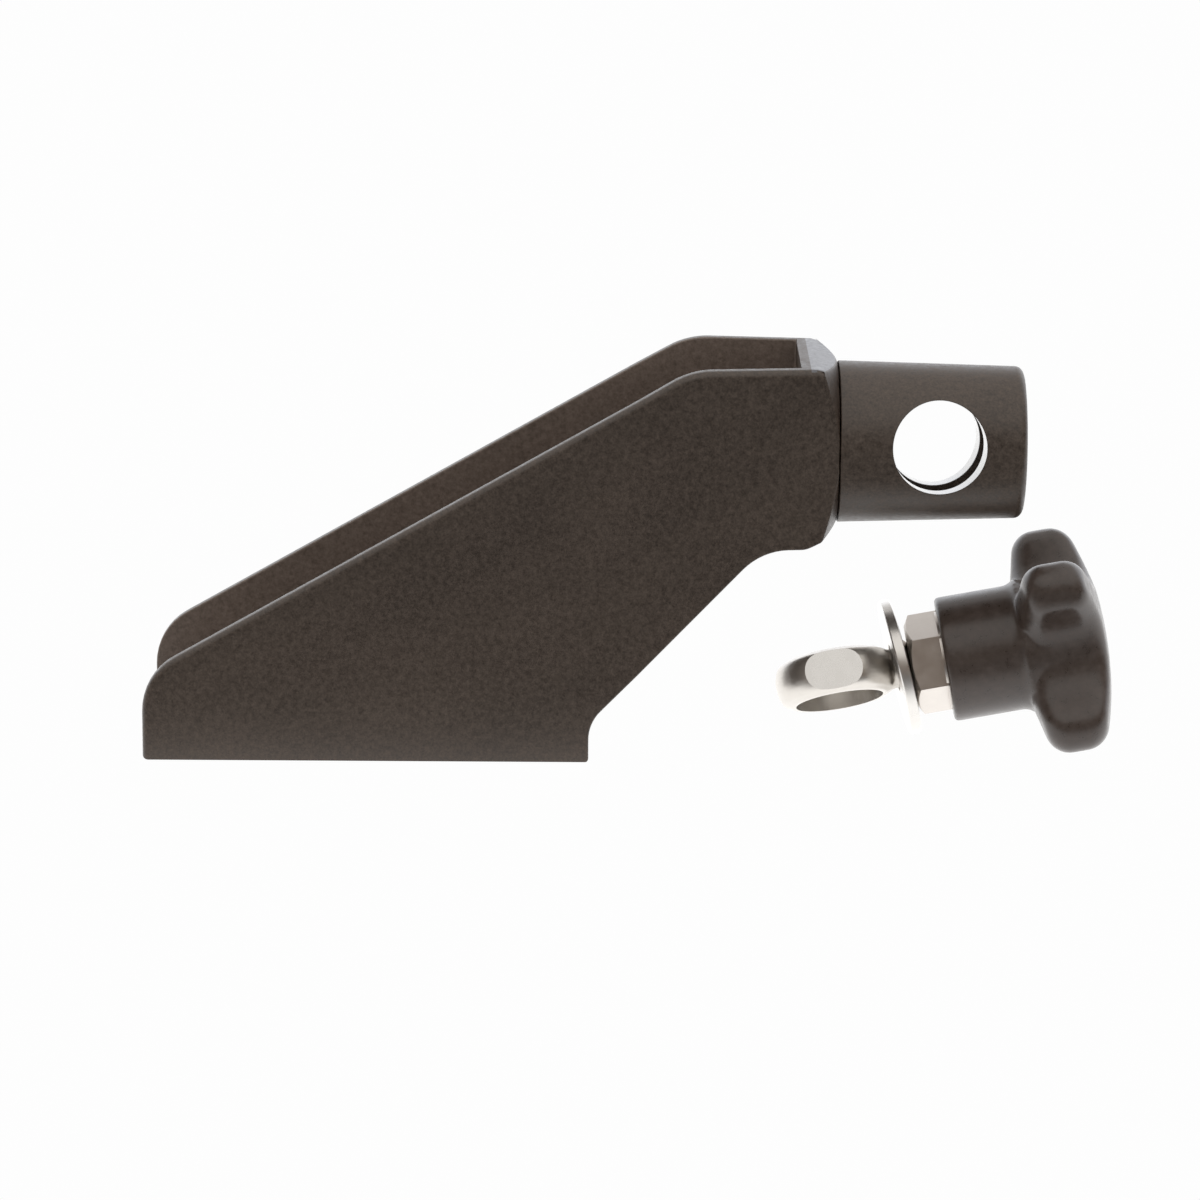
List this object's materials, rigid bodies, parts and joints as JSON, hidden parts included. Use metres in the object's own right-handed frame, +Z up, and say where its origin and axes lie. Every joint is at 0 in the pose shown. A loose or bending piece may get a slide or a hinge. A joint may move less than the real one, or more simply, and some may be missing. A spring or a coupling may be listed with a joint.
{
  "type": "guide rail side bracket",
  "caption": "Moulded side bracket for a conveyor guide rail: a channel-shaped arm, a swivelling round clamp head, and its loose eyebolt with washer and lobed knob.",
  "frame": {"origin": "centre of the flat base face of the arm", "axes": "+X from the heel to the clamp head, +Z up from the base, +Y away from the viewer's side plate"},
  "size_m": [0.1764, 0.0386, 0.0716],
  "materials": {
    "body_plastic": "moulded glass-filled polyamide, fine mottled grain",
    "knob_plastic": "smooth moulded polyamide, soft sheen",
    "forged_steel": "tumbled forged stainless steel with brushed flats",
    "turned_steel": "turned stainless steel, fine concentric lines",
    "washer_steel": "stamped stainless steel",
    "pivot_steel": "plain stainless steel",
    "brass": "turned brass"
  },
  "bodies": {
    "arm": {"bracket_body": "body_plastic"},
    "head": {"swivel_head": "body_plastic", "spigot_insert": "brass", "pivot_bolt": "pivot_steel", "pivot_lock_washer": "pivot_steel", "pivot_washer": "pivot_steel"},
    "bolt": {"eyebolt": "forged_steel"},
    "washer": {"clamp_washer": "washer_steel"},
    "knob": {"knob": "knob_plastic", "knob_insert": "turned_steel"}
  },
  "joints": [
    {"name": "head_swivel", "type": "hinge", "parent": "arm", "child": "head", "pos_m": [0.08485, 0, 0.0555], "axis": [1, 0, 0], "continuous": true},
    {"name": "set_slide", "type": "slide", "parent": "arm", "child": "bolt", "axis": [1, 0, 0], "range_m": [0, 0.06]},
    {"name": "knob_travel", "type": "slide", "parent": "bolt", "child": "washer", "axis": [0.9824, -0.0043, 0.1865], "range_m": [0, 0.008]},
    {"name": "knob_turn", "type": "hinge", "parent": "washer", "child": "knob", "pos_m": [0.08575, 0.00215, 0.01025], "axis": [0.9824, -0.0043, 0.1865], "range_deg": [0, 2304]}
  ],
  "couplings": [
    {"joint": "knob_travel", "follows": "knob_turn", "m_per_rad": 0.00019894}
  ]
}
